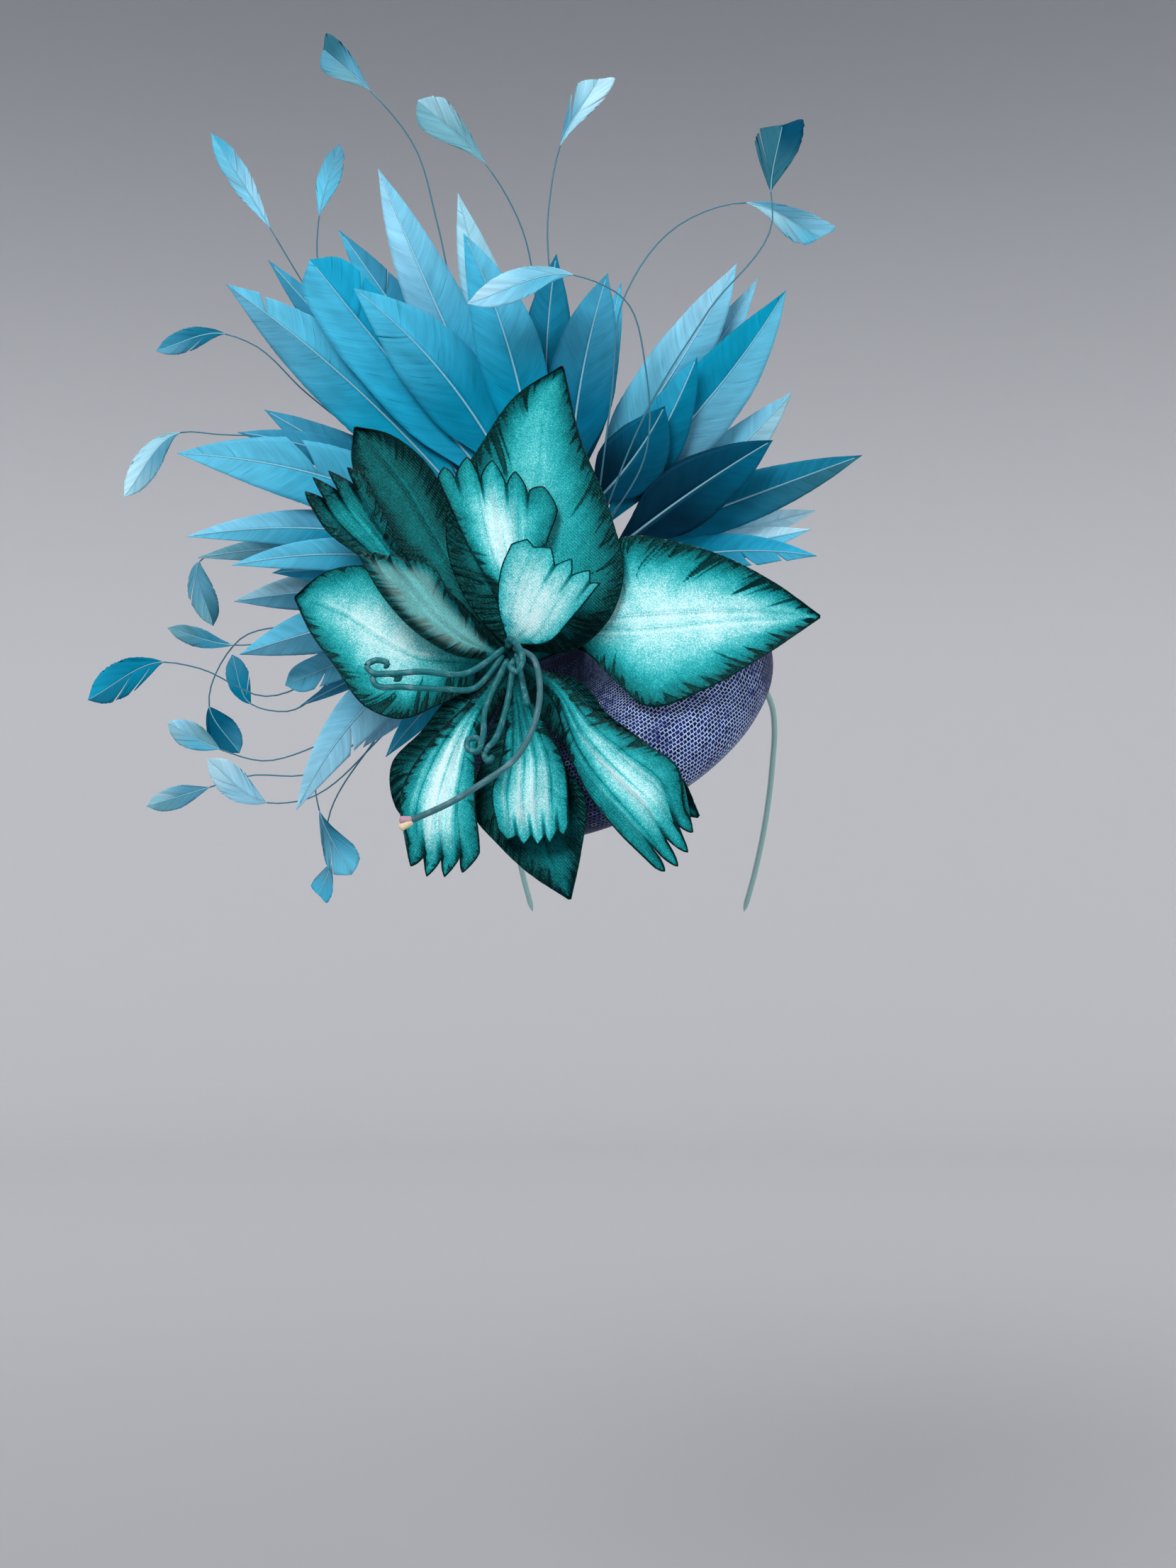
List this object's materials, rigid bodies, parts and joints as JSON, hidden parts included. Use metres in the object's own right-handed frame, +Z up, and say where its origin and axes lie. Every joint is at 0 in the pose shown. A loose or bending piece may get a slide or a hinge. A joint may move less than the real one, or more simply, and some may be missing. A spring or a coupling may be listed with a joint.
{
  "type": "feather and silk flower fascinator",
  "caption": "Headpiece to wear: puffed straw cap on a headband, with a large silk flower, a fan of feathers and fine feather sprays.",
  "frame": {"origin": "middle of the wearer's head, level with the front edge of the cap's open side", "axes": "+Z up, the wearer faces -Y, +X towards the wearer's left"},
  "size_m": [0.4298, 0.2135, 0.4876],
  "materials": {
    "straw": "open straw weave",
    "satin": "satin",
    "backing": "matt felt",
    "silk": "pressed dyed satin",
    "cord": "waxed cord",
    "feather": "feather barbs",
    "spray": "fine feather barbs"
  },
  "bodies": {
    "root": {"feather_01": "feather", "feather_02": "feather", "feather_03": "feather", "feather_04": "feather", "feather_05": "feather", "feather_06": "feather", "feather_07": "feather", "feather_08": "feather", "feather_09": "feather", "feather_10": "feather", "feather_11": "feather", "feather_12": "feather", "feather_13": "feather", "feather_14": "feather", "feather_15": "feather", "feather_16": "feather", "feather_17": "feather", "feather_18": "feather", "feather_19": "feather", "feather_20": "feather", "feather_21": "feather", "feather_22": "feather", "feather_23": "feather", "feather_mount": "backing", "feather_tuft_bottom": "feather", "feather_tuft_left_lower": "feather", "feather_tuft_left_upper": "feather", "feather_tuft_right": "feather", "flower_post": "backing", "headband": "satin", "petal_bottom": "silk", "petal_front": "silk", "petal_left": "silk", "petal_lower_left": "silk", "petal_lower_right": "silk", "petal_top": "silk", "petal_upper_left": "silk", "pistil": "cord", "sepal_bottom": "silk", "sepal_left": "silk", "sepal_lower_left": "silk", "sepal_lower_right": "silk", "sepal_right": "silk", "sepal_top": "silk", "sepal_upper_left": "silk", "sinamay_base": "straw", "sinamay_crown": "straw", "spray_bottom": "spray", "spray_front": "spray", "spray_left": "spray", "spray_lower_left": "spray", "spray_top": "spray", "spray_upper_left": "spray", "stamen_1": "cord", "stamen_2": "cord", "stamen_3": "cord", "stamen_4": "cord", "stamen_5": "cord", "stamen_6": "cord"}
  },
  "joints": []
}
